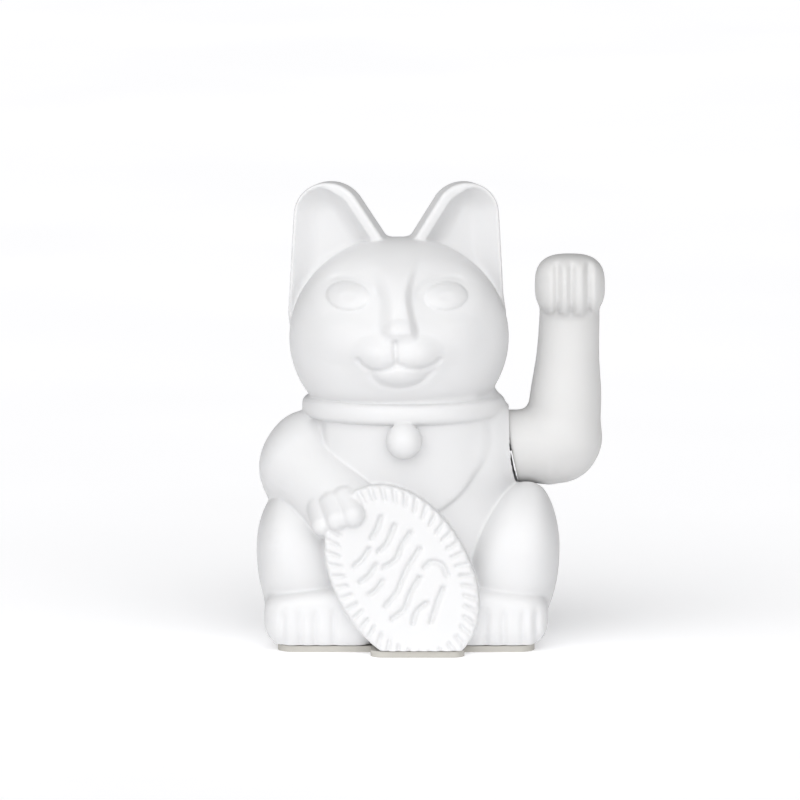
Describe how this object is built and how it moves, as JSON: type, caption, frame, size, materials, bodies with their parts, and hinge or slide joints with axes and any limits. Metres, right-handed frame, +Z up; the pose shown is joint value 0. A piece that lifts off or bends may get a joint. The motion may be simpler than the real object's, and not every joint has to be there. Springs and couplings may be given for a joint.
{
  "type": "beckoning cat figurine",
  "caption": "Seated hollow cat figurine with a collar, bell and oval coin, whose raised arm is rocked to and fro by a battery-driven magnet pendulum.",
  "frame": {"origin": "on the standing face of the base plate, in the cat's middle plane and on the line below the arm's axle", "axes": "+Z up, the cat faces -Y, +X is the side of the raised arm (the cat's left)"},
  "size_m": [0.115, 0.0871, 0.15],
  "materials": {
    "body_shell": "moulded white plastic, matt",
    "arm_shell": "moulded white plastic, matt, a little warmer than the body",
    "base": "moulded cream plastic, matt",
    "mechanism": "moulded natural plastic, smooth",
    "bobbin": "moulded black plastic",
    "black_part": "black moulded component body",
    "resistor": "beige lacquer with colour bands",
    "board": "paper laminate board",
    "lead_red": "insulated wire",
    "lead_black": "insulated wire",
    "copper": "enamelled copper wire",
    "contact": "nickel-plated spring steel",
    "cell": "plain printed jacket over a steel can",
    "steel": "bright zinc-plated steel",
    "weight": "plain steel block",
    "magnet": "sintered ferrite, matt"
  },
  "bodies": {
    "cat_body": {"front_shell": "body_shell", "rear_shell": "body_shell", "base_plate": "base", "battery_cell": "cell", "positive_contact": "contact", "negative_contact": "contact", "circuit_board": "board", "coil_bobbin": "bobbin", "coil_winding": "copper", "transistor": "black_part", "capacitor": "black_part", "resistor": "resistor", "lead_positive": "lead_red", "lead_negative": "lead_black", "pivot_bracket": "mechanism", "base_screws": "steel", "board_screws": "steel", "bracket_screws": "steel"},
    "battery_cover": {"battery_door": "base"},
    "beckoning_arm": {"pivot_axle": "steel", "pendulum_lever": "mechanism", "pendulum_weight": "weight", "pendulum_magnet": "magnet", "arm_hub": "mechanism", "arm_front_shell": "arm_shell", "arm_rear_shell": "arm_shell"}
  },
  "joints": [
    {"name": "arm_swing", "type": "hinge", "parent": "cat_body", "child": "beckoning_arm", "pos_m": [0, 0, 0.0627], "axis": [1, 0, 0], "range_deg": [-20, 20]},
    {"name": "battery_door_slide", "type": "slide", "parent": "cat_body", "child": "battery_cover", "axis": [0, 1, 0], "range_m": [0, 0.064]}
  ]
}
